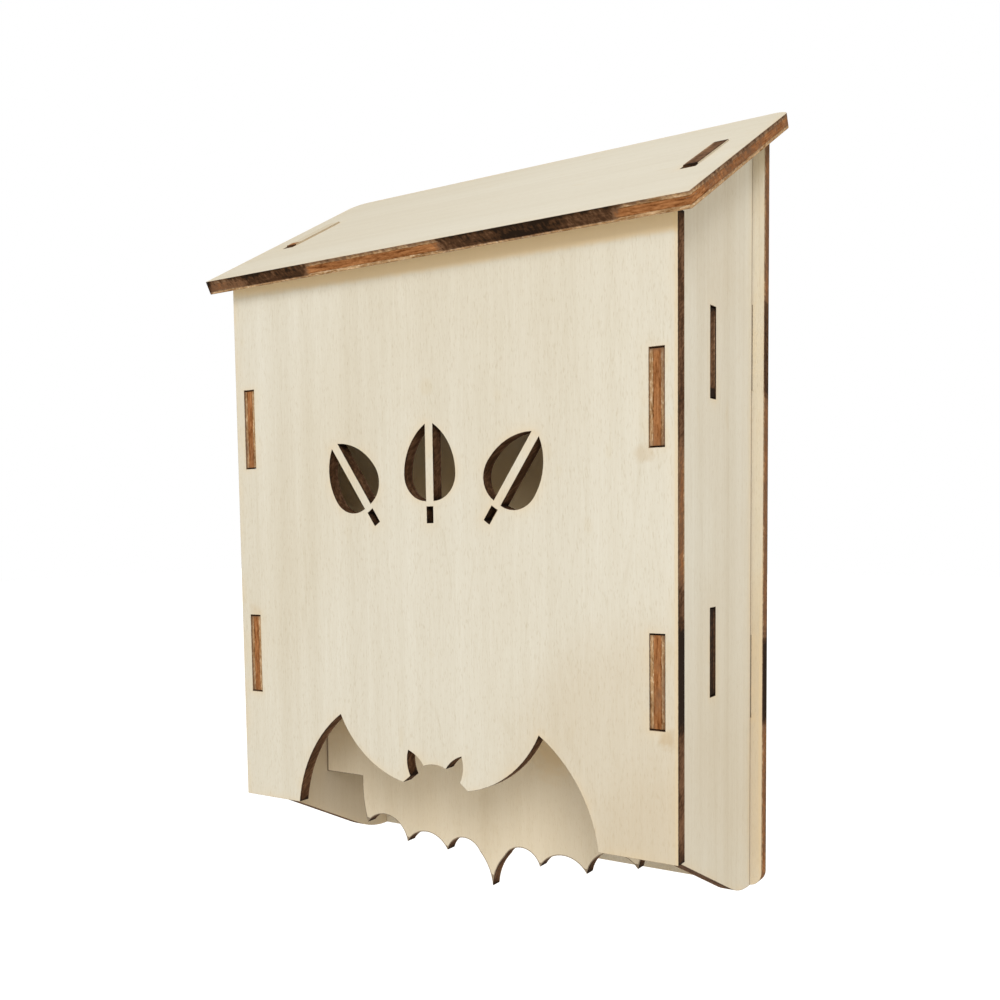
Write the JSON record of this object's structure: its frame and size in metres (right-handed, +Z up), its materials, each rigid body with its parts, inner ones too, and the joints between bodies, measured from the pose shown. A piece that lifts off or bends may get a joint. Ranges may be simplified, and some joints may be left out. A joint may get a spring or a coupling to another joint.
{
  "type": "bat box",
  "caption": "Small hanging bat box of slotted plywood panels, with a sloping roof, a hanging baffle and a bat-shaped arch at its open foot.",
  "frame": {"origin": "midway between the two hanging holes, on the back face of the back panel", "axes": "+Z up, +Y out of the back towards the wall, so the front panel faces -Y, and +X to the right of someone who looks at the front"},
  "size_m": [0.1184, 0.0569, 0.1697],
  "materials": {
    "plywood": "bare pale plywood with edges scorched brown by laser cutting"
  },
  "bodies": {
    "root": {"front_panel": "plywood", "baffle_panel": "plywood", "back_panel": "plywood", "left_side_panel": "plywood", "right_side_panel": "plywood", "roof_panel": "plywood"}
  },
  "joints": []
}
